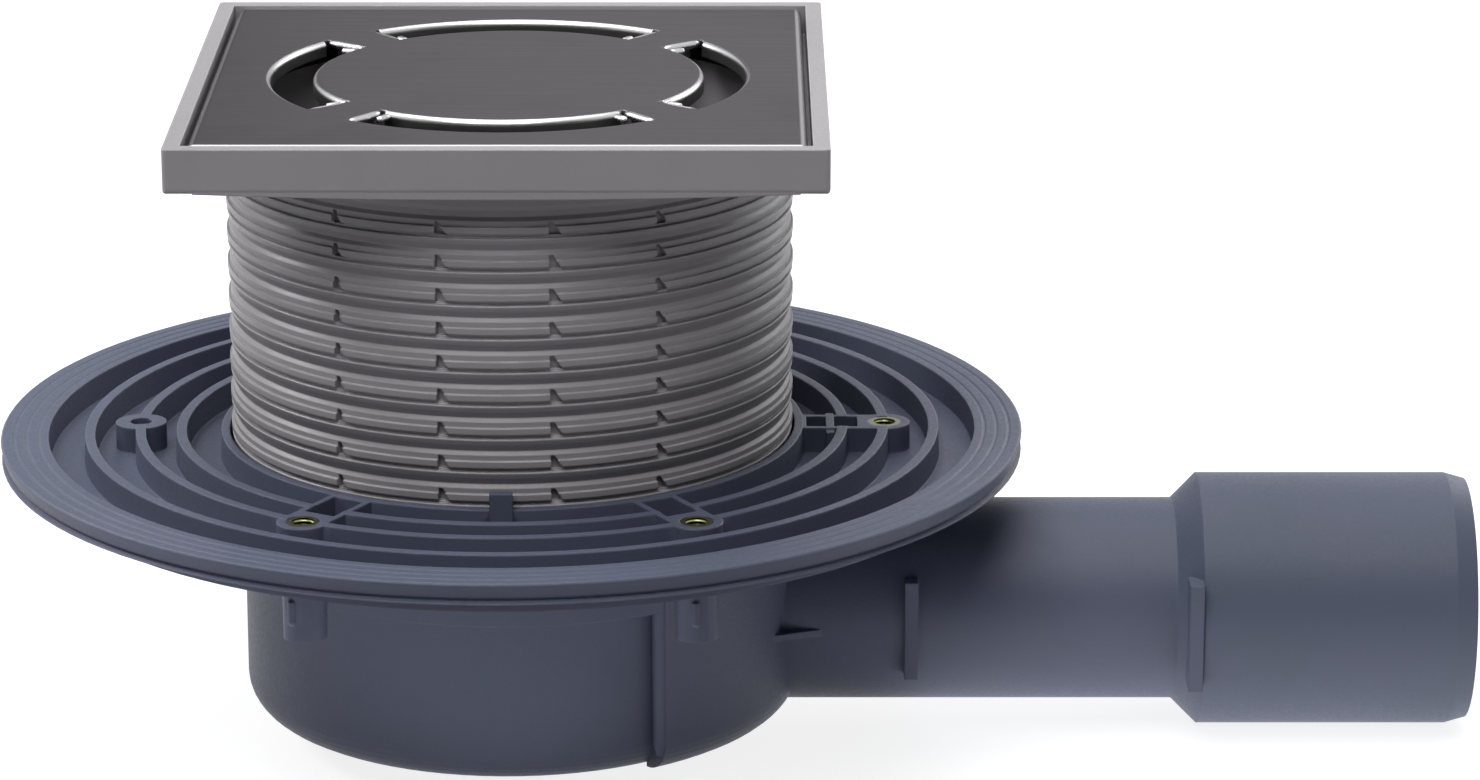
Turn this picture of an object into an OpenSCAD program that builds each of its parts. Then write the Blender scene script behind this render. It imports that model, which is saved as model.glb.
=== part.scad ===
// Floor gully with a side outlet, a removable water trap and a square tile frame.
// The origin is the centre of the pot's base. The outlet points along +X and +Z is up.

/* [Frame and grate] */
// Outer width of the square frame
frame_w = 123; // [120:0.5:126]
// Height of the frame's outer face
frame_h = 8.5; // [7.5:0.5:10]
// Width of the frame's top edge
frame_rim = 3.2; // [2.6:0.1:3.6]
// Gap between the grate and the frame on each side
grate_gap = 0.9; // [0.9:0.1:2]
// Thickness of the grate's steel sheet
grate_sheet = 1.5; // [1:0.1:2]
// Radius of the plain disc in the middle of the grate
disc_r = 37; // [34:0.5:38]
// Clear width of each curved slot
slot_w = 10; // [8:0.5:11]
// Half of the angle that each slot spans, in degrees
slot_half_angle = 38; // [34:1:39]

/* [Riser] */
// Height of the frame's top above the pot's base
top_z = 127.8; // [124:0.2:131]
// Outer diameter over the riser's ribs
riser_d = 110.6; // [110:0.1:110.8]
// Distance from one rib to the next
rib_pitch = 6.5; // [6.3:0.02:6.6]
// Number of notched bands
rib_count = 9; // [7:1:9]
// Bore of the ribbed part
riser_bore = 102; // [98:0.5:103]
// How far the ribs stand out over the plain tail that slides in the body
tail_step = 5.6; // [5.2:0.1:6.1]

/* [Body] */
// Outer diameter of the round pot
pot_d = 106.6; // [106:0.2:108]
// Wall thickness of the pot
pot_wall = 2.3; // [2:0.1:2.6]
// Outer radius of the chamber in front of the outlet
chamber_r = 56.8; // [55.5:0.1:57]
// Height of the flange's top above the pot's base
flange_z = 57; // [56:0.5:59]
// Diameter of the flange
flange_d = 201; // [199:0.5:206]
// Depth of the flange's troughs below its top
trough = 5.3; // [4.6:0.1:5.6]
// Diameter of the circle that the screw bosses stand on
boss_circle_d = 147; // [145:0.5:149]
// Hole for the membrane screws
screw_hole_d = 4.3; // [4:0.1:4.5]

/* [Outlet] */
// Height of the outlet's axis above the pot's base
outlet_z = 20.2; // [20.2:0.1:21]
// Outer diameter of the outlet pipe
pipe_d = 40; // [38:0.5:40]
// Outer diameter of the spigot
spigot_d = 50; // [48:0.5:52]
// Wall thickness of pipe and spigot
pipe_wall = 2.5; // [2:0.1:3]
// Distance from the gully's axis to the spigot's end
outlet_reach = 189.2; // [180:0.2:200]
// Length of the spigot's straight part and lead-in
spigot_len = 53.4; // [48:0.2:58]

/* [Trap] */
// Outer diameter of the water cup
cup_d = 76; // [72:0.5:79]
// Outer diameter of the dip tube
dip_d = 42; // [38:0.5:44]
// Height of the dip tube's lower end
dip_z = 13; // [11:0.5:15]
// Height of the cup's overflow edge
cup_rim_z = 33; // [30:0.5:34]

/* [Hidden] */
$fn = 96;

// Joins overlap by this much so that solids merge cleanly
lap = 0.6;
// Radial gap between parts that slide past each other
slide_gap = 0.3;

frame_z = top_z - frame_h;
frame_floor = 2.5;
frame_in = frame_w - 2 * frame_rim;
frame_floor_z = frame_z + frame_floor;
frame_round = 1;
apron_half = frame_w / 2 - 5.5;
apron_drop = 1.05;

grate_w = frame_in - 2 * grate_gap;
grate_top_z = top_z - 0.3;
grate_h = grate_top_z - frame_floor_z;
grate_round = 1.6;
lip_h = 3;
lip_round = 1.1;
slot_out_r = disc_r + slot_w;

riser_r = riser_d / 2;
groove_r = riser_r - 1.05;
recess_r = riser_r - 0.5;
notch_r = riser_r - 1.6;
band_h = 1.28;
first_band_z = flange_z + 1.7;
notch_azimuths = [-34.2, -11.9, 10.4, 32.7];
rib_foot_z = first_band_z - band_h / 2 - 3.9;
tail_d = riser_d - 2 * tail_step;
tail_wall = 2.4;
tail_z = flange_z - 13.5;

pot_r = pot_d / 2;
pot_floor = 2.5;
pot_round = 7;
flange_r = flange_d / 2;
trough_z = flange_z - trough;
flange_under_z = trough_z - 2.5;
rim_under_z = flange_z - 4.2;
rim_in_r = flange_r - 9.3;
collar_in_r = riser_r + 0.45;
collar_out_r = collar_in_r + 1.65;
shoulder_z = trough_z - 0.5;
ledge_z = flange_z - 16;
ledge_t = 2.5;
ledge_r = 44;
rim_grooves = [flange_r - 7.3, flange_r - 4.9, flange_r - 2.5];
chamber_half_angle = 57.4;
chamber_end_r = 1.6;

boss_d = 10;
boss_r = boss_circle_d / 2;
boss_top_z = flange_z - 0.1;
ring_ribs = [(collar_out_r + boss_r) / 2 - 0.25, boss_r - 0.3, (boss_r + rim_in_r) / 2 + 0.75];
ring_rib_top = 2;
ring_rib_foot = 2.4;
post_d = 8.6;
post_z = flange_z - 22.8;
arm_z = flange_under_z - 5;
pit_w = 6.6;
pit_end_r = boss_r - boss_d / 2 - 0.4;
cross_r = collar_out_r + 4.5;
cross_t = 1.6;
insert_d = 6.4;
insert_len = 9;
insert_top_z = boss_top_z;

pipe_r = pipe_d / 2;
spigot_r = spigot_d / 2;
cone_len = spigot_r - pipe_r;
spigot_x = outlet_reach - spigot_len;
lead_in = 4;
pipe_bar_x = chamber_r + 20.4;

seal_z = ledge_z;
seal_t = 1.2;
funnel_z = seal_z + seal_t;
funnel_t = 2;
funnel_r = 46.4;
dip_r = dip_d / 2;
trap_wall = 1.8;
mouth_r = 26;
cup_r = cup_d / 2;
cup_z = 4.5;
strainer_r = 25;
strainer_t = 1.4;
strainer_hole_d = 4.6;
strainer_rings = [strainer_r - 17, strainer_r - 9.6];
knob_r = 4;
knob_z = 8;

// Square with rounded corners, centred
module round_square(w, r) {
    square([w - 2 * r, w], center = true);
    square([w, w - 2 * r], center = true);
    for (x = [-1, 1], y = [-1, 1])
        translate([x * (w / 2 - r), y * (w / 2 - r)]) circle(r);
}

// Side view of a tray turned upside down, with rounded top edges
module tray_side(w, h, r) {
    translate([-w / 2, 0]) square([w, h - r]);
    translate([-w / 2 + r, 0]) square([w - 2 * r, h]);
    for (x = [-1, 1]) translate([x * (w / 2 - r), h - r]) circle(r);
}

// Block with rounded top edges and rounded upright corners
module tray_block(w, h, r) {
    intersection() {
        rotate([90, 0, 0]) linear_extrude(w + 2, center = true) tray_side(w, h, r);
        rotate([90, 0, 90]) linear_extrude(w + 2, center = true) tray_side(w, h, r);
        translate([0, 0, -1]) linear_extrude(h + 2) round_square(w, r);
    }
}

// Ring sector of rectangular section around the Z axis
module ring_sector(r1, r2, z1, z2, from, span) {
    rotate([0, 0, from]) rotate_extrude(angle = span)
        translate([r1, z1]) square([r2 - r1, z2 - z1]);
}

// Points of a quarter circle in a side view, from angle a1 to a2
function arc(cx, cz, r, a1, a2, n = 8) =
    [for (i = [0:n]) let (a = a1 + (a2 - a1) * i / n) [cx + r * cos(a), cz + r * sin(a)]];

// ---- Grate ----

// Side view of a slot's pressed lip: side = 1 faces outward, -1 inward
module lip_side(r, side) {
    translate([r, -lip_h]) scale([side, 1]) polygon(concat(
        [[-grate_sheet, 0], [0, 0]],
        arc(-lip_round, lip_h - lip_round, lip_round, 0, 90, 6),
        [[-grate_sheet - lap, lip_h], [-grate_sheet - lap, lip_h - grate_sheet],
            [-grate_sheet, lip_h - grate_sheet - 0.4]]));
}

// Curved slot cut through the sheet, in the direction of +X
module slot_cut() {
    ring_sector(disc_r, slot_out_r, -grate_sheet - 1, 1, -slot_half_angle, 2 * slot_half_angle);
}

// Pressed lips around one slot: two curved ones and a short tab at each end
module slot_lips() {
    lip_half = slot_half_angle - 2;
    rotate([0, 0, -lip_half]) rotate_extrude(angle = 2 * lip_half) {
        lip_side(disc_r + 0.9, 1);
        lip_side(slot_out_r - 0.9, -1);
    }
    for (end = [-1, 1]) rotate([0, 0, end * slot_half_angle])
        translate([disc_r + 2.6, end * 0.6 - 0.7, -lip_h]) cube([slot_w - 5.2, 1.4, lip_h - 0.2]);
}

module grate_plate() {
    color("dimgray") translate([0, 0, grate_top_z]) {
        difference() {
            translate([0, 0, -grate_h]) tray_block(grate_w, grate_h, grate_round);
            translate([0, 0, -grate_h - 1])
                tray_block(grate_w - 2 * grate_sheet, grate_h + 1 - grate_sheet, 0.4);
            for (a = [0:90:270]) rotate([0, 0, a]) slot_cut();
        }
        for (a = [0:90:270]) rotate([0, 0, a]) slot_lips();
    }
}

// ---- Riser with its frame ----

// Outline of one rib around its notched band at height z, from the groove above it
function rib_points(z) = [
    [groove_r, z + 2.5], [recess_r, z + 1.75], [recess_r, z + band_h / 2],
    [riser_r, z + band_h / 2], [riser_r, z - band_h / 2],
    [riser_r - 0.7, z - band_h / 2], [riser_r - 0.7, z - 1.4],
    [riser_r - 0.12, z - 1.6], [riser_r - 0.12, z - 1.9], [riser_r - 0.38, z - 2.7]];

function band_z(i) = first_band_z + (rib_count - 1 - i) * rib_pitch;

module riser_tube() {
    rotate_extrude() polygon(concat(
        [[riser_bore / 2, frame_z + lap], [riser_r - 0.12, frame_z + lap],
            [riser_r - 0.12, band_z(0) + rib_pitch - 1.9], [riser_r - 0.38, band_z(0) + rib_pitch - 2.7]],
        [for (i = [0:rib_count - 1]) each rib_points(band_z(i))],
        [[riser_r - 0.38, rib_foot_z], [tail_d / 2, rib_foot_z], [tail_d / 2, tail_z + 1.2],
            [tail_d / 2 - 0.8, tail_z], [tail_d / 2 - tail_wall, tail_z],
            [tail_d / 2 - tail_wall, rib_foot_z], [riser_bore / 2, rib_foot_z + 3]]));
}

// Notch in a band: one side stands upright, the other slants
module band_notch() {
    rotate([90, 0, 0]) linear_extrude(3)
        polygon([[-0.6, -1], [1.8, -1], [0.15, 1.5], [-0.6, 1.5]]);
}

// Shallow bow under the front of the frame
module frame_apron() {
    translate([0, 3 - frame_w / 2, frame_z]) rotate([90, 0, 0]) linear_extrude(2.85)
        polygon(concat([[-apron_half, lap], [-apron_half, 0]],
            [for (x = [-7:7]) [x * apron_half / 8, -apron_drop * (1 - x * x / 64)]],
            [[apron_half, 0], [apron_half, lap]]));
}

module riser_frame() {
    color("darkgray") {
        difference() {
            union() {
                translate([0, 0, top_z]) mirror([0, 0, 1]) tray_block(frame_w, frame_h, frame_round);
                for (a = [0:90:270]) rotate([0, 0, a]) frame_apron();
            }
            translate([0, 0, frame_floor_z]) linear_extrude(frame_h) square(frame_in, center = true);
            translate([0, 0, frame_z - 1]) cylinder(d = riser_bore, h = frame_floor + 2);
        }
        difference() {
            riser_tube();
            for (i = [0:rib_count - 1], side = [0, 180], a = notch_azimuths)
                rotate([0, 0, side + a]) translate([0, -notch_r, band_z(i)]) band_notch();
        }
    }
}

// Lip ring that seals the riser's tail in the collar
module riser_seal() {
    color("black") translate([0, 0, shoulder_z]) rotate_extrude() polygon([
        [tail_d / 2 + 1.6, 0], [collar_in_r, 0], [collar_in_r, 2.4], [tail_d / 2 + 1.6, 2.4],
        [tail_d / 2 + slide_gap, 1.9], [tail_d / 2 + slide_gap, 1.3], [tail_d / 2 + 1.6, 0.9]]);
}

// ---- Body ----

// Outline of the pot and its flange, from the axis around the outside and back
module body_side() {
    polygon(concat(
        [[0, 0]],
        arc(pot_r - pot_round, pot_round, pot_round, -90, 0),
        [[pot_r, flange_under_z], [rim_in_r + 1.8, flange_under_z], [rim_in_r + 1.8, rim_under_z],
            [flange_r - 0.5, rim_under_z], [flange_r - 0.1, rim_under_z + 0.2],
            [flange_r - 0.9, rim_under_z + 0.6], [flange_r - 1.2, rim_under_z + 0.8],
            [flange_r - 0.6, rim_under_z + 1.4],
            [flange_r, flange_z - 0.4], [flange_r - 0.3, flange_z]],
        [for (i = [2:-1:0]) each [[rim_grooves[i] + 0.4, flange_z], [rim_grooves[i], flange_z - 0.28],
            [rim_grooves[i] - 0.4, flange_z]]],
        [[rim_in_r, flange_z], [rim_in_r - 0.3, trough_z]],
        [for (i = [2:-1:0]) each [[ring_ribs[i] + ring_rib_foot / 2, trough_z],
            [ring_ribs[i] + ring_rib_top / 2, flange_z], [ring_ribs[i] - ring_rib_top / 2, flange_z],
            [ring_ribs[i] - ring_rib_foot / 2, trough_z]]],
        [[collar_out_r + 0.2, trough_z], [collar_out_r, flange_z], [collar_in_r, flange_z],
            [collar_in_r, shoulder_z], [pot_r - pot_wall, shoulder_z], [pot_r - pot_wall, ledge_z],
            [ledge_r, ledge_z], [ledge_r, ledge_z - ledge_t], [pot_r - pot_wall, ledge_z - ledge_t]],
        arc(pot_r - pot_round, pot_round, pot_round - pot_wall, 0, -90),
        [[0, pot_round - (pot_round - pot_wall)]]));
}

// Wider wall in front of the outlet, with rounded upright ends
module chamber_wall() {
    rotate([0, 0, -chamber_half_angle]) rotate_extrude(angle = 2 * chamber_half_angle)
        polygon(concat([[chamber_r - pot_round, 1.5]],
            arc(chamber_r - pot_round, pot_round, pot_round, -90, 0),
            [[chamber_r, flange_under_z + lap], [pot_r - pot_wall / 2, flange_under_z + lap],
                [pot_r - pot_wall / 2, pot_round]]));
    for (end = [-1, 1]) rotate([0, 0, end * chamber_half_angle])
        translate([chamber_r - chamber_end_r - 0.15, 0, 4]) rotate_extrude()
            polygon([[0, 0], [chamber_end_r - 0.8, 0], [chamber_end_r, 2.6],
                [chamber_end_r, flange_under_z + lap / 2 - 4], [0, flange_under_z + lap / 2 - 4]]);
}

module chamber_hollow() {
    half = chamber_half_angle - 2.5;
    ring_sector(pot_r - 12, chamber_r - pot_wall, pot_floor + 3, ledge_z - ledge_t - 0.3, -half, 2 * half);
    ring_sector(pot_r - 4, chamber_r - pot_wall, ledge_z + 0.3, flange_under_z - 0.5, -half, 2 * half);
}

// Band that stiffens the pot's neck on the front and the back
module neck_bands() {
    for (from = [-125, 55])
        ring_sector(pot_r - 1, pot_r + 3.3, flange_under_z - 15.8, flange_under_z + lap, from, 70);
}

// Screw boss at the end of a hollow arm that runs out from the collar
module armed_boss(foot_z, arm_foot_z) {
    translate([boss_r, 0, foot_z])
        cylinder(d1 = post_d - 0.4, d2 = post_d, h = flange_under_z + lap - foot_z);
    translate([pot_r - 1, -post_d / 2 + 0.5, arm_foot_z])
        cube([boss_r - pot_r + 1, post_d - 1, flange_under_z + lap - arm_foot_z]);
    translate([boss_r, 0, flange_under_z + lap / 2])
        cylinder(d = boss_d, h = boss_top_z - flange_under_z - lap / 2);
    translate([collar_out_r - 0.8, -boss_d / 2 + 0.5, flange_under_z + lap / 2])
        cube([boss_r - collar_out_r + 0.8, boss_d - 1, boss_top_z - flange_under_z - lap / 2]);
}

module arm_pit(floor_z, to_r) {
    translate([collar_out_r + 0.6, -pit_w / 2, floor_z])
        cube([to_r - collar_out_r - 0.6, pit_w, flange_z - floor_z + 1]);
}

module insert_seat() {
    translate([boss_r, 0, insert_top_z - insert_len]) cylinder(d = insert_d, h = insert_len + 2);
    translate([boss_r, 0, insert_top_z - insert_len - 4]) cylinder(d = screw_hole_d, h = 5);
}

// Small round rib with a blunt foot on the outside of a boss's post
module post_drop(az, facing) {
    rotate([0, 0, az]) translate([boss_r, 0, 0]) rotate([0, 0, facing - az])
        translate([post_d / 2 - 0.3, 0, post_z + 3.2])
            rotate_extrude() polygon([[0, 0], [0.5, 0.1], [0.8, 0.6], [0.8, 4.8], [0, 5.6]]);
}

// Outlet pipe with its cone, spigot and lead-in, seen along the pipe from its axis
module outlet_side() {
    polygon([[0, pot_r - 6], [pipe_r, pot_r - 6], [pipe_r, spigot_x - cone_len], [spigot_r, spigot_x],
        [spigot_r, outlet_reach - lead_in], [spigot_r - 1.1, outlet_reach], [0, outlet_reach]]);
}

module bore_side() {
    polygon([[0, pot_r - 10], [pipe_r - pipe_wall, pot_r - 10],
        [pipe_r - pipe_wall, spigot_x - cone_len + 1], [spigot_r - pipe_wall, spigot_x + 1],
        [spigot_r - pipe_wall, outlet_reach + 1], [0, outlet_reach + 1]]);
}

// Turns a side view around the outlet's axis
module around_outlet() {
    translate([0, 0, outlet_z]) rotate([0, 90, 0]) rotate_extrude() children();
}

// Short upright bars on the pipe and webs that tie it to the chamber
module outlet_ribs() {
    for (side = [-1, 1]) {
        translate([pipe_bar_x, side * (pipe_r - 2) - 3, outlet_z - 10]) cube([2.6, 6, 20]);
        translate([spigot_x - 3.1, side * (spigot_r - 2.4) - 3, outlet_z - 10.8]) cube([2.8, 6, 21.6]);
        translate([0, 0, outlet_z - 1.3]) linear_extrude(1.4)
            polygon([[chamber_r - 8, side * (pipe_r - 5)], [chamber_r - 7.5, side * (pipe_r + 4.6)],
                [chamber_r + 4.6, side * (pipe_r - 0.2)], [chamber_r + 4, side * (pipe_r - 5)]]);
    }
}

module drain_body() {
    color("slategray") difference() {
        union() {
            rotate_extrude() body_side();
            chamber_wall();
            neck_bands();
            around_outlet() outlet_side();
            outlet_ribs();
            for (a = [-120, -60, 60, 120]) rotate([0, 0, a]) armed_boss(post_z, arm_z);
            armed_boss(outlet_z + pipe_r - 1, outlet_z + pipe_r - 1);
            translate([cross_r, -6.5, trough_z - lap]) cube([cross_t, 13, flange_z - 0.4 - trough_z + lap]);
            translate([-boss_r, 0, flange_under_z - 4])
                cylinder(d = boss_d, h = boss_top_z - flange_under_z + 4);
            for (side = [-1, 1]) {
                post_drop(side * 120, side * 123);
                post_drop(side * 60, side * 92);
            }
            ring_sector(collar_in_r + 0.15, collar_out_r + 0.3, trough_z, flange_z + 3.3, -92.2, 4.4);
        }
        chamber_hollow();
        around_outlet() bore_side();
        for (a = [-120, -60, 60, 120]) rotate([0, 0, a]) arm_pit(arm_z + 1.8, pit_end_r);
        arm_pit(outlet_z + pipe_r + 2, cross_r);
        translate([cross_r + cross_t, -pit_w / 2, outlet_z + pipe_r + 2])
            cube([pit_end_r - cross_r - cross_t, pit_w, flange_z]);
        for (a = [-120:60:120]) rotate([0, 0, a]) insert_seat();
        translate([-boss_r, 0, flange_z - 11]) cylinder(d = screw_hole_d, h = 12);
    }
}

// Brass thread inserts in the five bosses that have an arm
module thread_inserts() {
    color("gold") for (a = [-120:60:120])
        rotate([0, 0, a]) translate([boss_r, 0, insert_top_z - insert_len]) difference() {
            cylinder(d = insert_d, h = insert_len);
            translate([0, 0, -1]) cylinder(d = screw_hole_d, h = insert_len + 2);
        }
}

// ---- Trap ----

module trap_seal() {
    color("black") translate([0, 0, seal_z]) difference() {
        cylinder(r = funnel_r, h = seal_t);
        translate([0, 0, -1]) cylinder(r = ledge_r + 0.4, h = seal_t + 2);
    }
}

// Funnel with its dip tube and a fixed handle
module trap_funnel() {
    color("gainsboro") {
        rotate_extrude() polygon([
            [funnel_r, funnel_z], [funnel_r, funnel_z + funnel_t], [mouth_r + 1, funnel_z + funnel_t],
            [mouth_r, funnel_z + 0.6], [mouth_r, funnel_z - 1.5], [dip_r, funnel_z - 4],
            [dip_r - trap_wall, funnel_z - 6], [dip_r - trap_wall, dip_z], [dip_r, dip_z],
            [dip_r, funnel_z - 6.5], [mouth_r + 2, funnel_z - 2.5], [mouth_r + 2, funnel_z]]);
        for (side = [-1, 1])
            translate([-4, side * 36 - 1.2, funnel_z + funnel_t - 0.5]) cube([8, 2.4, 20]);
        translate([-4, -37.2, funnel_z + funnel_t + 17]) cube([8, 74.4, 2.5]);
    }
}

// Cup that holds the water, hung under the funnel on three arms
module trap_cup() {
    color("gainsboro") {
        rotate_extrude() polygon([
            [0, cup_z], [cup_r - 3, cup_z], [cup_r, cup_z + 3], [cup_r, cup_rim_z],
            [cup_r - trap_wall, cup_rim_z], [cup_r - trap_wall, cup_z + 3.6],
            [cup_r - 3.6, cup_z + trap_wall], [0, cup_z + trap_wall]]);
        for (a = [60, 180, 300])
            ring_sector(cup_r - trap_wall + 0.2, cup_r - 0.2, cup_rim_z - lap, funnel_z, a - 7, 14);
    }
}

// Perforated disc that keeps hair out of the dip tube
module hair_strainer() {
    color("silver") translate([0, 0, funnel_z - 1.5]) {
        difference() {
            cylinder(r = strainer_r, h = strainer_t);
            for (ring = [0, 1], a = [0:60 / (ring + 1):359]) rotate([0, 0, a])
                translate([strainer_rings[ring], 0, -1]) cylinder(d = strainer_hole_d, h = strainer_t + 2);
        }
        cylinder(r = knob_r - 2.2, h = knob_z + 1);
        translate([0, 0, knob_z]) cylinder(r = knob_r, h = 2.4);
    }
}

drain_body();
thread_inserts();
riser_seal();
riser_frame();
grate_plate();
trap_seal();
trap_funnel();
trap_cup();
hair_strainer();
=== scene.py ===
# Dresses and lights the floor gully with its side outlet, riser and slotted grate.
import math

import bmesh
import bpy
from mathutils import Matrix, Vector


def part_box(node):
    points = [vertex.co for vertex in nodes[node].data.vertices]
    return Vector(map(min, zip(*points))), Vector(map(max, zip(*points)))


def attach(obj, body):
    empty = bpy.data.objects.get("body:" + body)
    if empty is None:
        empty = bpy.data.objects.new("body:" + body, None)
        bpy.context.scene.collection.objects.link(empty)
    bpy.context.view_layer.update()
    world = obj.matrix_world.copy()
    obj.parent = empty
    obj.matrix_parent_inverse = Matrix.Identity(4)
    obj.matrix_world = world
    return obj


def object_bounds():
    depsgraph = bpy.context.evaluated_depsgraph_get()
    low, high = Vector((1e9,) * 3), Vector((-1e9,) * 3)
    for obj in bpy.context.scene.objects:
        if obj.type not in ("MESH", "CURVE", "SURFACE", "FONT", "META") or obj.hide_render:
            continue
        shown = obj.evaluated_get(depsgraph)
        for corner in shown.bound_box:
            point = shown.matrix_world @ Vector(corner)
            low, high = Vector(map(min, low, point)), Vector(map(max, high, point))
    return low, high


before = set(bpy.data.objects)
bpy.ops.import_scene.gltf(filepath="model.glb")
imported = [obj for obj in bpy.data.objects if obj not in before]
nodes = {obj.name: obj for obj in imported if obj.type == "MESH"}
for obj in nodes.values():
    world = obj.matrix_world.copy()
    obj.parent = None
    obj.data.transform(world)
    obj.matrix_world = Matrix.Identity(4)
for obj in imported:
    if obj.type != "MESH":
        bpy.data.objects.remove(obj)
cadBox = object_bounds()
print("model loaded:", len(nodes), "nodes")


def newPiece(name, data):
    piece = bpy.data.objects.new(name, data)
    bpy.context.collection.objects.link(piece)
    return piece


# Helpers that build node trees

def addNode(tree, kind, x, y, **settings):
    node = tree.nodes.new(kind)
    node.location = (x, y)
    for name, value in settings.items():
        setattr(node, name, value)
    return node


def join(tree, source, target):
    tree.links.new(source, target)


def math2(tree, operation, a, b, x, y, clamp=False):
    node = addNode(tree, "ShaderNodeMath", x, y, operation=operation, use_clamp=clamp)
    for socket, value in zip(node.inputs, (a, b)):
        if value is None:
            continue
        if isinstance(value, (int, float)):
            socket.default_value = value
        else:
            join(tree, value, socket)
    return node.outputs[0]


def smoothStep(tree, value, low, high, x, y):
    node = addNode(tree, "ShaderNodeMapRange", x, y, interpolation_type="SMOOTHSTEP")
    join(tree, value, node.inputs["Value"])
    for socket, limit in zip((node.inputs["From Min"], node.inputs["From Max"]), (low, high)):
        if isinstance(limit, (int, float)):
            socket.default_value = limit
        else:
            join(tree, limit, socket)
    return node.outputs["Result"]


def mixColor(tree, factor, a, b, x, y, blend="MIX"):
    node = addNode(tree, "ShaderNodeMix", x, y, data_type="RGBA", blend_type=blend)
    for socket, value in ((node.inputs[0], factor), (node.inputs[6], a), (node.inputs[7], b)):
        if isinstance(value, (int, float)):
            socket.default_value = value
        elif isinstance(value, tuple):
            socket.default_value = (*value, 1)
        else:
            join(tree, value, socket)
    return node.outputs[2]


def newGroup(name, inputs, outputs):
    group = bpy.data.node_groups.new(name, "ShaderNodeTree")
    for label, kind, value in inputs:
        socket = group.interface.new_socket(label, in_out="INPUT", socket_type=kind)
        socket.default_value = value
    for label, kind in outputs:
        group.interface.new_socket(label, in_out="OUTPUT", socket_type=kind)
    entry = addNode(group, "NodeGroupInput", -1200, 0)
    leave = addNode(group, "NodeGroupOutput", 900, 0)
    return group, entry.outputs, leave.inputs


def placeGroup(tree, group, x, y, **values):
    node = addNode(tree, "ShaderNodeGroup", x, y, node_tree=group)
    for label, value in values.items():
        socket = node.inputs[label.replace("_", " ")]
        if isinstance(value, (int, float)):
            socket.default_value = value
        elif isinstance(value, tuple):
            socket.default_value = (*value, 1)
        else:
            join(tree, value, socket)
    return node


# Effects that several materials share

# flat and sharp: how far the rounded normal may turn from the face's own; level and upright: its Z
edgeEffect = {
    "samples": 4, "flat": 0.995, "sharp": 0.86, "noiseDetail": 4,
    "whole": 0.35, "broken": 0.62, "level": 0.03, "upright": 0.4,
}


def makeEdgeGroup(look):
    # Mask that is 1 along edges and 0 on flat and gently curved faces, broken up like wear, and one for edges
    # that face up, which is used as a painted highlight
    group, inside, out = newGroup(
        "edgeWearAndHighlight",
        [("Width", "NodeSocketFloat", 0.0006), ("Breakup", "NodeSocketFloat", 0.5),
         ("Scale", "NodeSocketFloat", 160.0)],
        [("Mask", "NodeSocketFloat"), ("Upward Highlight", "NodeSocketFloat")])
    bevel = addNode(group, "ShaderNodeBevel", -900, 200, samples=look["samples"])
    join(group, inside["Width"], bevel.inputs["Radius"])
    geometry = addNode(group, "ShaderNodeNewGeometry", -900, -50)
    dot = addNode(group, "ShaderNodeVectorMath", -650, 100, operation="DOT_PRODUCT")
    join(group, bevel.outputs["Normal"], dot.inputs[0])
    join(group, geometry.outputs["Normal"], dot.inputs[1])
    edge = smoothStep(group, dot.outputs["Value"], look["flat"], look["sharp"], -420, 100)
    coords = addNode(group, "ShaderNodeTexCoord", -900, -350)
    noise = addNode(group, "ShaderNodeTexNoise", -650, -300)
    noise.inputs["Detail"].default_value = look["noiseDetail"]
    join(group, coords.outputs["Object"], noise.inputs["Vector"])
    join(group, inside["Scale"], noise.inputs["Scale"])
    patchy = smoothStep(group, noise.outputs["Fac"], look["whole"], look["broken"], -420, -250)
    gaps = math2(group, "SUBTRACT", 1, patchy, -200, -250)
    held = math2(group, "MULTIPLY", inside["Breakup"], gaps, 0, -200)
    worn = math2(group, "MULTIPLY", edge, math2(group, "SUBTRACT", 1, held, 200, -150), 450, 0)
    join(group, worn, out["Mask"])
    # upward-facing part of the edge mask, used as a painted highlight on ledges and rib tops
    apart = addNode(group, "ShaderNodeSeparateXYZ", -650, 350)
    join(group, bevel.outputs["Normal"], apart.inputs[0])
    upward = smoothStep(group, apart.outputs["Z"], look["level"], look["upright"], -420, 350)
    join(group, math2(group, "MULTIPLY", worn, upward, 650, 200), out["Upward Highlight"])
    return group


grainEffect = {
    "detail": 3, "roughness": 0.6, "waveScale": 55, "waveDetail": 2, "speckleFrom": 0.35, "speckleTo": 0.65,
}


def makeGrainGroup(look):
    # Fine tooled texture of a mould, with a slow waviness under it
    group, inside, out = newGroup(
        "mouldGrain",
        [("Scale", "NodeSocketFloat", 1800.0), ("Waviness", "NodeSocketFloat", 0.4)],
        [("Height", "NodeSocketFloat"), ("Speckle", "NodeSocketFloat")])
    coords = addNode(group, "ShaderNodeTexCoord", -900, 0)
    fine = addNode(group, "ShaderNodeTexNoise", -650, 200)
    fine.inputs["Detail"].default_value = look["detail"]
    fine.inputs["Roughness"].default_value = look["roughness"]
    join(group, coords.outputs["Object"], fine.inputs["Vector"])
    join(group, inside["Scale"], fine.inputs["Scale"])
    wave = addNode(group, "ShaderNodeTexNoise", -650, -150)
    wave.inputs["Scale"].default_value = look["waveScale"]
    wave.inputs["Detail"].default_value = look["waveDetail"]
    join(group, coords.outputs["Object"], wave.inputs["Vector"])
    slow = math2(group, "MULTIPLY", wave.outputs["Fac"], inside["Waviness"], -350, -150)
    join(group, math2(group, "ADD", fine.outputs["Fac"], slow, 0, 50), out["Height"])
    speckle = smoothStep(group, fine.outputs["Fac"], look["speckleFrom"], look["speckleTo"], -350, 250)
    join(group, speckle, out["Speckle"])
    return group


cloudEffect = {"detail": 5, "roughness": 0.55, "middle": 0.5, "lightest": 0.75, "darkest": 0.28}


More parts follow.
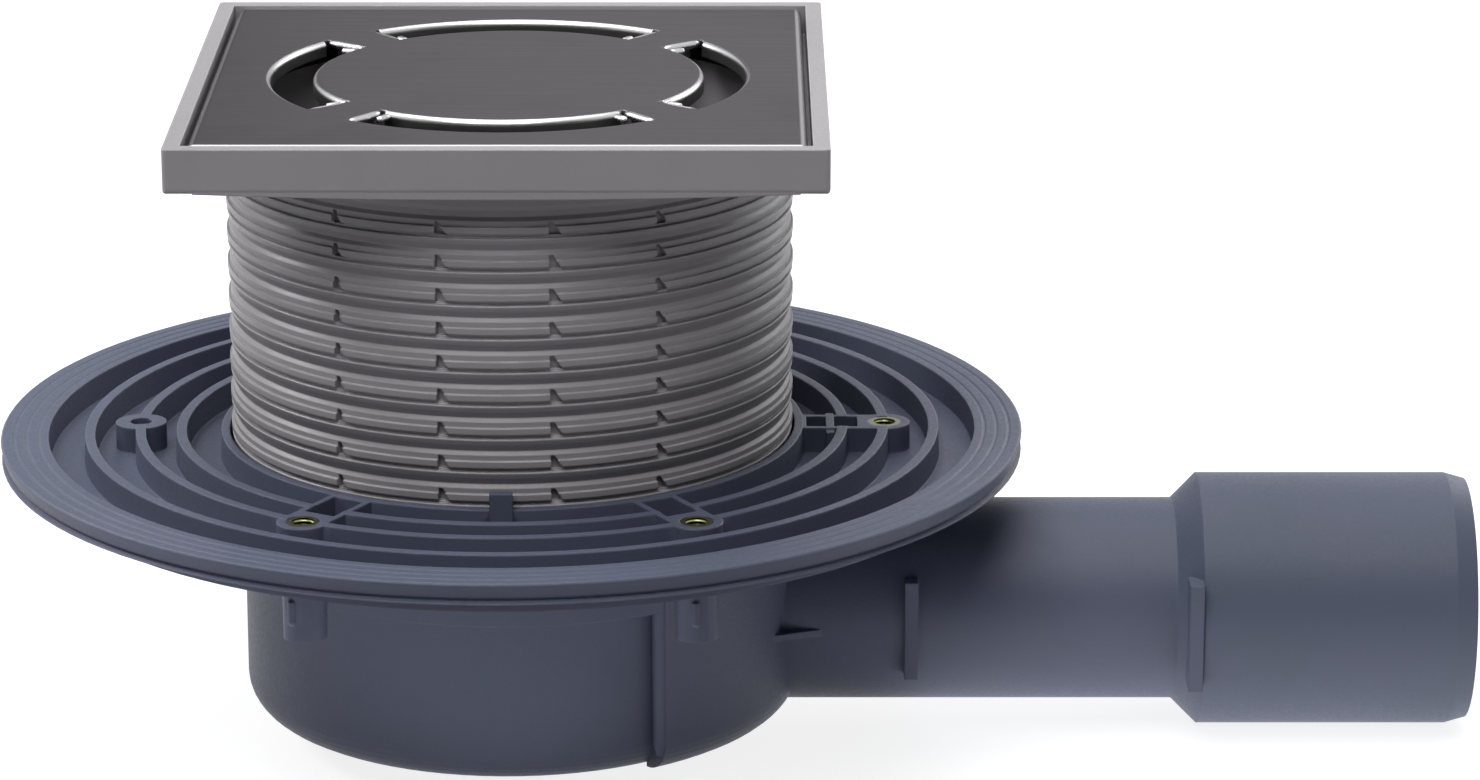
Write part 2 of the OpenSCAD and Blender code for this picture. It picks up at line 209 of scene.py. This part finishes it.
def makeCloudGroup(look):
    # Cloudy change of tone that moulded plastic shows over a hand's width
    group, inside, out = newGroup(
        "toneClouds",
        [("Color", "NodeSocketColor", (0.2, 0.2, 0.2, 1)),
         ("Light Color", "NodeSocketColor", (0.3, 0.3, 0.3, 1)),
         ("Dark Color", "NodeSocketColor", (0.1, 0.1, 0.1, 1)),
         ("Scale", "NodeSocketFloat", 30.0), ("Amount", "NodeSocketFloat", 0.5)],
        [("Color", "NodeSocketColor"), ("Mask", "NodeSocketFloat")])
    coords = addNode(group, "ShaderNodeTexCoord", -1000, 0)
    large = addNode(group, "ShaderNodeTexNoise", -750, 200)
    large.inputs["Detail"].default_value = look["detail"]
    large.inputs["Roughness"].default_value = look["roughness"]
    join(group, coords.outputs["Object"], large.inputs["Vector"])
    join(group, inside["Scale"], large.inputs["Scale"])
    light = smoothStep(group, large.outputs["Fac"], look["middle"], look["lightest"], -450, 250)
    dark = smoothStep(group, large.outputs["Fac"], look["middle"], look["darkest"], -450, 0)
    lit = mixColor(group, math2(group, "MULTIPLY", light, inside["Amount"], -200, 300),
                   inside["Color"], inside["Light Color"], 100, 200)
    both = mixColor(group, math2(group, "MULTIPLY", dark, inside["Amount"], -200, 0),
                    lit, inside["Dark Color"], 400, 100)
    join(group, both, out["Color"])
    join(group, large.outputs["Fac"], out["Mask"])
    return group


edgeWearAndHighlight = makeEdgeGroup(edgeEffect)
mouldGrain = makeGrainGroup(grainEffect)
toneClouds = makeCloudGroup(cloudEffect)
print("shared effects built")


# Materials of the pieces

def newMaterial(name, metallic, specular):
    material = bpy.data.materials.new(name)
    material.use_nodes = True
    tree = material.node_tree
    shader = tree.nodes["Principled BSDF"]
    shader.inputs["Metallic"].default_value = metallic
    shader.inputs["Specular IOR Level"].default_value = specular
    return material, tree, shader


def roughRange(tree, value, middle, less, more, x, y):
    # Roughness that follows a mask from a little under to a little over its middle
    rough = addNode(tree, "ShaderNodeMapRange", x, y)
    join(tree, value, rough.inputs["Value"])
    rough.inputs["To Min"].default_value = middle - less
    rough.inputs["To Max"].default_value = middle + more
    return rough.outputs["Result"]


def roundedSurface(tree, shader, height, edgeWidth, strength, depth):
    # Fine relief on top of softly rounded edges
    rounded = addNode(tree, "ShaderNodeBevel", -600, -600, samples=4)
    rounded.inputs["Radius"].default_value = edgeWidth
    bump = addNode(tree, "ShaderNodeBump", -300, -450)
    bump.inputs["Strength"].default_value = strength
    bump.inputs["Distance"].default_value = depth
    join(tree, height, bump.inputs["Height"])
    join(tree, rounded.outputs["Normal"], bump.inputs["Normal"])
    join(tree, bump.outputs["Normal"], shader.inputs["Normal"])


# What all moulded plastics have in common
mouldLook = {
    "breakup": 0.45, "wearScale": 180.0, "roughLess": 0.05, "roughMore": 0.06, "grainDepth": 0.0004,
}


def mouldedPlastic(name, look):
    # Satin injection moulding: clouded tone, painted highlight on upward-facing edges broken up like wear,
    # tooled grain
    look = dict(mouldLook, **look)
    material, tree, shader = newMaterial(name, 0, look["specular"])
    clouds = placeGroup(tree, toneClouds, -900, 300, Color=look["color"], Light_Color=look["light"],
                        Dark_Color=look["dark"], Scale=look["cloudScale"], Amount=look["cloudAmount"])
    edges = placeGroup(tree, edgeWearAndHighlight, -900, 0, Width=look["edgeWidth"], Breakup=look["breakup"],
                       Scale=look["wearScale"])
    grain = placeGroup(tree, mouldGrain, -900, -300, Scale=look["grainScale"], Waviness=look["waviness"])
    # painted highlight: upward-facing edges are lightened towards the highlight colour, standing in for the
    # light they catch
    edgeHighlight = math2(tree, "MULTIPLY", edges.outputs["Upward Highlight"], look["edgeLight"], -600, 50)
    color = mixColor(tree, edgeHighlight, clouds.outputs["Color"], look["highlightColor"], -350, 200)
    join(tree, color, shader.inputs["Base Color"])
    rough = roughRange(tree, grain.outputs["Speckle"], look["roughness"], look["roughLess"],
                       look["roughMore"], -600, -150)
    gloss = math2(tree, "MULTIPLY", edges.outputs["Upward Highlight"], look["edgeGloss"], -600, -300)
    join(tree, math2(tree, "SUBTRACT", rough, gloss, -350, -150), shader.inputs["Roughness"])
    roundedSurface(tree, shader, grain.outputs["Height"], look["edgeWidth"], look["grainStrength"],
                   look["grainDepth"])
    return material


def dress(name, material):
    piece = nodes[name]
    piece.data.materials.clear()
    piece.data.materials.append(material)
    return piece


# in the plastic looks, the highlight colour and edge light give the painted highlight on upward-facing edges
bodyLook = {
    "color": (0.073, 0.083, 0.125), "light": (0.083, 0.089, 0.138), "dark": (0.061, 0.075, 0.106),
    "highlightColor": (0.22, 0.24, 0.31), "edgeLight": 0.28, "edgeWidth": 0.0005, "edgeGloss": 0.08,
    "cloudScale": 26.0, "cloudAmount": 0.5, "grainScale": 1500.0, "waviness": 0.5,
    "grainStrength": 0.16, "roughness": 0.5, "specular": 0.28,
}
dress("drain_body", mouldedPlastic("bodyPlastic", bodyLook))

riserLook = {
    "color": (0.266, 0.253, 0.266), "light": (0.298, 0.284, 0.298), "dark": (0.233, 0.221, 0.233),
    "highlightColor": (0.66, 0.65, 0.66), "edgeLight": 0.7, "edgeWidth": 0.00035, "edgeGloss": 0.2,
    "cloudScale": 34.0, "cloudAmount": 0.4, "grainScale": 1900.0, "waviness": 0.35,
    "grainStrength": 0.12, "roughness": 0.38, "specular": 0.32,
}
dress("riser_frame", mouldedPlastic("riserPlastic", riserLook))

trapLook = {
    "color": (0.72, 0.73, 0.74), "light": (0.78, 0.79, 0.8), "dark": (0.64, 0.65, 0.66),
    "highlightColor": (0.85, 0.85, 0.86), "edgeLight": 0.3, "edgeWidth": 0.0005, "edgeGloss": 0.08,
    "cloudScale": 30.0, "cloudAmount": 0.4, "grainScale": 1400.0, "waviness": 0.3,
    "grainStrength": 0.08, "roughness": 0.3, "specular": 0.5,
}
trapPlastic = mouldedPlastic("trapPlastic", trapLook)
dress("trap_funnel", trapPlastic)
dress("trap_cup", trapPlastic)
print("plastic parts dressed")

# The Z of the normal, from flat sheet to rolled edge, and from hidden underside to upper side
rolledLook = {"sheet": 0.993, "rolled": 0.94, "under": -0.3, "upper": 0.7}


def rolledMask(tree, look):
    # 1 where a pressed edge rolls over, 0 on the flat sheet, less on upright walls and none on the underside,
    # so the lip colour there is partly a painted highlight on the upper side
    geometry = addNode(tree, "ShaderNodeNewGeometry", -1350, -700)
    facing = addNode(tree, "ShaderNodeSeparateXYZ", -1150, -700)
    join(tree, geometry.outputs["Normal"], facing.inputs[0])
    rolled = smoothStep(tree, facing.outputs["Z"], look["sheet"], look["rolled"], -950, -650)
    upper = smoothStep(tree, facing.outputs["Z"], look["under"], look["upper"], -950, -850)
    return math2(tree, "MULTIPLY", rolled, upper, -700, -750)


grateLook = {
    "color": (0.145, 0.14, 0.145), "dark": (0.105, 0.102, 0.105), "lipColor": (0.58, 0.575, 0.58),
    "roughness": 0.36, "lipRoughness": 0.25, "brushScale": 900.0, "brushStrength": 0.1,
    "brushStretch": 0.035, "brushDetail": 4, "brushTone": 0.45, "brushDepth": 0.0002,
    "roughLess": 0.06, "roughMore": 0.08, "cloudScale": 24.0, "cloudAmount": 0.6,
    "edgeWidth": 0.0005, "edgeTint": (0.5, 0.49, 0.5), "edgeShine": 0.2, "breakup": 0.3, "wearScale": 220.0,
}


def brushedSteel(name, look, polishedAndLitLips):
    material, tree, shader = newMaterial(name, 1, 0.5)
    shader.inputs["Specular Tint"].default_value = (*look["edgeTint"], 1)
    coords = addNode(tree, "ShaderNodeTexCoord", -1700, 0)
    stretch = addNode(tree, "ShaderNodeMapping", -1500, 0)
    stretch.inputs["Scale"].default_value = (look["brushStretch"], 1, 1)
    join(tree, coords.outputs["Object"], stretch.inputs["Vector"])
    lines = addNode(tree, "ShaderNodeTexNoise", -1300, 0)
    lines.inputs["Scale"].default_value = look["brushScale"]
    lines.inputs["Detail"].default_value = look["brushDetail"]
    join(tree, stretch.outputs["Vector"], lines.inputs["Vector"])
    clouds = placeGroup(tree, toneClouds, -1000, 400, Color=look["color"], Light_Color=look["color"],
                        Dark_Color=look["dark"], Scale=look["cloudScale"], Amount=look["cloudAmount"])
    streaks = mixColor(tree, math2(tree, "MULTIPLY", lines.outputs["Fac"], look["brushTone"], -1000, 100),
                       clouds.outputs["Color"], look["dark"], -700, 300)
    rough = roughRange(tree, lines.outputs["Fac"], look["roughness"], look["roughLess"],
                       look["roughMore"], -700, 0)
    edges = placeGroup(tree, edgeWearAndHighlight, -1000, -300, Width=look["edgeWidth"], Breakup=look["breakup"],
                       Scale=look["wearScale"])
    mask = math2(tree, "MULTIPLY", edges.outputs["Mask"], look["edgeShine"], -700, -300)
    # rolled lips take the light lip colour on their upper side only: real polish, partly a painted highlight
    if polishedAndLitLips:
        mask = math2(tree, "MAXIMUM", mask, rolledMask(tree, rolledLook), -450, -300)
    join(tree, mixColor(tree, mask, streaks, look["lipColor"], -300, 300), shader.inputs["Base Color"])
    polish = addNode(tree, "ShaderNodeMix", -300, 0, data_type="FLOAT")
    join(tree, mask, polish.inputs[0])
    join(tree, rough, polish.inputs[2])
    polish.inputs[3].default_value = look["lipRoughness"]
    join(tree, polish.outputs[0], shader.inputs["Roughness"])
    roundedSurface(tree, shader, lines.outputs["Fac"], look["edgeWidth"], look["brushStrength"],
                   look["brushDepth"])
    return material


dress("grate_plate", brushedSteel("grateSteel", grateLook, True))

trimLook = {
    "rolledEnd": {"angle": 38.0, "near": 0.0372, "far": 0.0472, "radius": 0.0008, "drop": 0.0007},
    "bridge": {"angle": 34.6, "near": 0.0376, "far": 0.0412, "radius": 0.0008, "drop": 0.001},
    "color": (0.56, 0.555, 0.56), "dark": (0.4, 0.4, 0.41), "roughness": 0.26,
    "rings": 9, "sides": 12, "bluntness": 6,
}


def addRod(bm, start, end, radius, look):
    # Rod with blunt rounded tips between two points that lie level
    rings = look["rings"]
    sides = look["sides"]
    along = end - start
    across = Vector((-along.y, along.x, 0)).normalized()
    upright = Vector((0, 0, 1))
    loops = []
    for i in range(1, rings):
        t = i / rings
        place = start + along * t
        r = radius * (1 - abs(2 * t - 1) ** look["bluntness"]) ** 0.5
        loop = []
        for k in range(sides):
            turn = 2 * math.pi * k / sides
            out = across * (r * math.cos(turn)) + upright * (r * math.sin(turn))
            loop.append(bm.verts.new(place + out))
        loops.append(loop)
    for a, b in zip(loops, loops[1:]):
        for k in range(sides):
            bm.faces.new((a[k], a[(k + 1) % sides], b[(k + 1) % sides], b[k]))
    tips = bm.verts.new(start), bm.verts.new(end)
    for k in range(sides):
        bm.faces.new((loops[0][(k + 1) % sides], loops[0][k], tips[0]))
        bm.faces.new((loops[-1][k], loops[-1][(k + 1) % sides], tips[1]))


def buildSlotTrim(look):
    # Rolled ends of the four slots and the small bridges beside them
    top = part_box("grate_plate")[1][2]
    bm = bmesh.new()
    for quarter in range(4):
        for side in (-1, 1):
            for rod in (look["rolledEnd"], look["bridge"]):
                turn = math.radians(90 * quarter + side * rod["angle"])
                way = Vector((math.cos(turn), math.sin(turn), 0))
                rise = Vector((0, 0, top - rod["drop"]))
                addRod(bm, way * rod["near"] + rise, way * rod["far"] + rise, rod["radius"], look)
    bmesh.ops.recalc_face_normals(bm, faces=bm.faces)
    mesh = bpy.data.meshes.new("slotTrim")
    bm.to_mesh(mesh)
    bm.free()
    for face in mesh.polygons:
        face.use_smooth = True
    trim = newPiece("slotTrim", mesh)
    finish = dict(grateLook, color=look["color"], dark=look["dark"], roughness=look["roughness"])
    mesh.materials.append(brushedSteel("trimSteel", finish, False))
    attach(trim, "riser")


buildSlotTrim(trimLook)

strainerLook = dict(grateLook, color=(0.55, 0.55, 0.56), dark=(0.42, 0.42, 0.43), roughness=0.26)
dress("hair_strainer", brushedSteel("strainerSteel", strainerLook, False))

insertLook = {
    "color": (0.34, 0.35, 0.14), "dark": (0.22, 0.22, 0.09), "rimShadeColor": (0.17, 0.175, 0.12),
    "boreShadeColor": (0.02, 0.02, 0.012), "litDepth": 0.0004, "boreShadeDepth": 0.0014,
    "roughness": 0.36, "roughLess": 0.08, "roughMore": 0.1, "cloudScale": 400.0, "cloudAmount": 0.7,
    "rimFrom": 0.6, "rimTo": 0.95, "threadPitch": 0.0008, "threadStrength": 0.5, "threadDepth": 0.0003,
}


def turnedBrass(name, look):
    # Brass with thread lines in the bore, painted shade that darkens the bore with depth, and painted shade
    # on the upward-facing rim
    material, tree, shader = newMaterial(name, 1, 0.5)
    clouds = placeGroup(tree, toneClouds, -700, 300, Color=look["color"], Light_Color=look["color"],
                        Dark_Color=look["dark"], Scale=look["cloudScale"], Amount=look["cloudAmount"])
    rough = roughRange(tree, clouds.outputs["Mask"], look["roughness"], look["roughLess"],
                       look["roughMore"], -400, 50)
    join(tree, rough, shader.inputs["Roughness"])
    coords = addNode(tree, "ShaderNodeTexCoord", -1000, -300)
    apart = addNode(tree, "ShaderNodeSeparateXYZ", -850, -300)
    join(tree, coords.outputs["Object"], apart.inputs[0])
    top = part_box("thread_inserts")[1][2]
    # painted shade: below the lit depth the bore darkens towards the near-black bore colour
    boreShade = smoothStep(tree, apart.outputs["Z"], top - look["litDepth"], top - look["boreShadeDepth"], -650, 600)
    geometry = addNode(tree, "ShaderNodeNewGeometry", -1000, 800)
    facing = addNode(tree, "ShaderNodeSeparateXYZ", -850, 800)
    join(tree, geometry.outputs["Normal"], facing.inputs[0])
    # painted shade: upward-facing faces of the rim are darkened, as if the insert sat lower in its boss
    rimShade = smoothStep(tree, facing.outputs["Z"], look["rimFrom"], look["rimTo"], -650, 850)
    color = mixColor(tree, rimShade, clouds.outputs["Color"], look["rimShadeColor"], -450, 500)
    color = mixColor(tree, boreShade, color, look["boreShadeColor"], -250, 500)
    join(tree, color, shader.inputs["Base Color"])
    turn = math2(tree, "MULTIPLY", apart.outputs["Z"], 2 * math.pi / look["threadPitch"], -650, -300)
    bump = addNode(tree, "ShaderNodeBump", -300, -300)
    bump.inputs["Strength"].default_value = look["threadStrength"]
    bump.inputs["Distance"].default_value = look["threadDepth"]
    join(tree, math2(tree, "SINE", turn, None, -450, -300), bump.inputs["Height"])
    join(tree, bump.outputs["Normal"], shader.inputs["Normal"])
    return material


dress("thread_inserts", turnedBrass("insertBrass", insertLook))

sealLook = {
    "color": (0.018, 0.018, 0.019), "light": (0.026, 0.026, 0.027), "dark": (0.012, 0.012, 0.012),
    "highlightColor": (0.05, 0.05, 0.05), "edgeLight": 0.3, "edgeWidth": 0.0003, "edgeGloss": 0.05,
    "cloudScale": 60.0, "cloudAmount": 0.6, "grainScale": 2400.0, "waviness": 0.3,
    "grainStrength": 0.2, "roughness": 0.62, "specular": 0.35,
}
sealRubber = mouldedPlastic("sealRubber", sealLook)
dress("riser_seal", sealRubber)
dress("trap_seal", sealRubber)
print("metal and rubber parts dressed")


# Floor, lamps, cards and camera

stageLook = {
    "floorHalf": 6, "floor": (0.32, 0.32, 0.325), "floorRoughness": 0.9, "floorLift": 0.84,
    "world": (0.97, 0.98, 1), "worldLevel": 0.06,
}


def paper(name, color, roughness):
    material = bpy.data.materials.new(name)
    material.use_nodes = True
    tree = material.node_tree
    shader = tree.nodes["Principled BSDF"]
    shader.inputs["Base Color"].default_value = (*color, 1)
    shader.inputs["Roughness"].default_value = roughness
    return material, tree, shader


def seenMask(tree):
    # 1 for what the camera sees, directly or in a mirror or through glass
    path = addNode(tree, "ShaderNodeLightPath", -700, 300)
    seen = math2(tree, "MAXIMUM", path.outputs["Is Camera Ray"], path.outputs["Is Glossy Ray"], -500, 300)
    return math2(tree, "MAXIMUM", seen, path.outputs["Is Transmission Ray"], -300, 300)


def buildFloor(look):
    half = look["floorHalf"]
    low = cadBox[0][2]
    mesh = bpy.data.meshes.new("studioFloor")
    mesh.from_pydata([(-half, -half, low), (half, -half, low), (half, half, low), (-half, half, low)],
                     [], [(0, 1, 2, 3)])
    floor = newPiece("studioFloor", mesh)
    material, tree, shader = paper("floorPaper", look["floor"], look["floorRoughness"])
    glow = addNode(tree, "ShaderNodeEmission", 0, -200)
    join(tree, math2(tree, "MULTIPLY", seenMask(tree), look["floorLift"], -100, 300), glow.inputs["Strength"])
    both = addNode(tree, "ShaderNodeAddShader", 300, 100)
    join(tree, shader.outputs[0], both.inputs[0])
    join(tree, glow.outputs[0], both.inputs[1])
    join(tree, both.outputs[0], tree.nodes["Material Output"].inputs["Surface"])
    mesh.materials.append(material)


def buildWorld(look):
    world = bpy.data.worlds.new("studioWorld")
    bpy.context.scene.world = world
    world.use_nodes = True
    tree = world.node_tree
    tree.nodes.clear()
    lit = addNode(tree, "ShaderNodeBackground", -100, 0)
    lit.inputs["Color"].default_value = (*look["world"], 1)
    lit.inputs["Strength"].default_value = look["worldLevel"]
    white = addNode(tree, "ShaderNodeBackground", -100, -200)
    white.inputs["Color"].default_value = (1, 1, 1, 1)
    white.inputs["Strength"].default_value = 1
    mix = addNode(tree, "ShaderNodeMixShader", 150, 100)
    join(tree, seenMask(tree), mix.inputs[0])
    join(tree, lit.outputs[0], mix.inputs[1])
    join(tree, white.outputs[0], mix.inputs[2])
    output = addNode(tree, "ShaderNodeOutputWorld", 400, 100)
    join(tree, mix.outputs[0], output.inputs["Surface"])


# Every lamp stands at "place", faces "aim" and is "size" wide and high
lampLook = {
    "keyLamp": {"place": (-0.15, -0.7, 1.12), "aim": (0.03, 0, 0.05), "size": (0.9, 0.7), "watts": 10.5},
    "topLamp": {"place": (-0.1, 0.1, 1.25), "aim": (0.03, 0, 0.05), "size": (1.2, 1.2), "watts": 11.2},
    "sideLamp": {"place": (-1.05, 0.35, 0.85), "aim": (0.0, 0, 0.08), "size": (0.3, 0.5), "watts": 10.5},
    "backLamp": {"place": (0.9, 1.0, 0.6), "aim": (0.06, 0, 0.05), "size": (0.8, 0.6), "watts": 5.2},
}
# Two lamps lie on the floor and face up: they brighten the pipe's and the pot's lower half
lowLampLook = {
    "lift": 0.0006,
    "lamps": {
        "lowRight": {"place": (0.18, 0.02), "size": (0.2, 0.2), "watts": 0.2},
        "lowFront": {"place": (-0.04, -0.088), "size": (0.18, 0.03), "watts": 0.05},
    },
}


def softLamp(name, place, aim, size, watts):
    lamp = bpy.data.lights.new(name, "AREA")
    lamp.shape = "RECTANGLE"
    lamp.size = size[0]
    lamp.size_y = size[1]
    lamp.energy = watts
    piece = newPiece(name, lamp)
    piece.location = place
    way = Vector(aim) - Vector(place)
    piece.rotation_euler = way.to_track_quat("-Z", "Y").to_euler()
    piece.visible_camera = False
    return piece


cardLook = {
    "frontCard": {"x": (-2, 2), "y": -1.7, "z": (-0.1, 1.6), "tone": 0.03},
    "backCard": {"x": (-1.1, -0.25), "y": 2.2, "z": (0.42, 1.7), "tone": 0.4},
}


def buildCard(name, look):
    # Upright card that the metal and the satin faces mirror, hidden from the camera
    mesh = bpy.data.meshes.new(name)
    left, right = look["x"]
    low, high = look["z"]
    y = look["y"]
    corners = [(left, y, low), (right, y, low), (right, y, high), (left, y, high)]
    mesh.from_pydata(corners, [], [(0, 1, 2, 3)])
    card = newPiece(name, mesh)
    mesh.materials.append(paper(name + "Cloth", (look["tone"],) * 3, 1)[0])
    card.visible_camera = False


cameraLook = {
    "place": (0.0434, -1.0408, 0.3766), "pitch": 16.66, "lens": 133.9, "shift": (0.0052, -0.0058),
    "sensor": 36, "clipStart": 0.05,
}


def buildCamera(look):
    data = bpy.data.cameras.new("mainCamera")
    data.sensor_width = look["sensor"]
    data.lens = look["lens"]
    data.shift_x, data.shift_y = look["shift"]
    data.clip_start = look["clipStart"]
    camera = newPiece("mainCamera", data)
    camera.location = look["place"]
    camera.rotation_euler = (math.radians(90 - look["pitch"]), 0, 0)
    bpy.context.scene.camera = camera


buildFloor(stageLook)
buildWorld(stageLook)
for name, lamp in lampLook.items():
    softLamp(name, **lamp)
lowZ = cadBox[0][2] + lowLampLook["lift"]
for name, lamp in lowLampLook["lamps"].items():
    x, y = lamp["place"]
    softLamp(name, (x, y, lowZ), (x, y, 1), lamp["size"], lamp["watts"]).visible_glossy = False
for name, card in cardLook.items():
    buildCard(name, card)
buildCamera(cameraLook)
bpy.context.scene.view_settings.view_transform = "Standard"
print("stage and camera set")
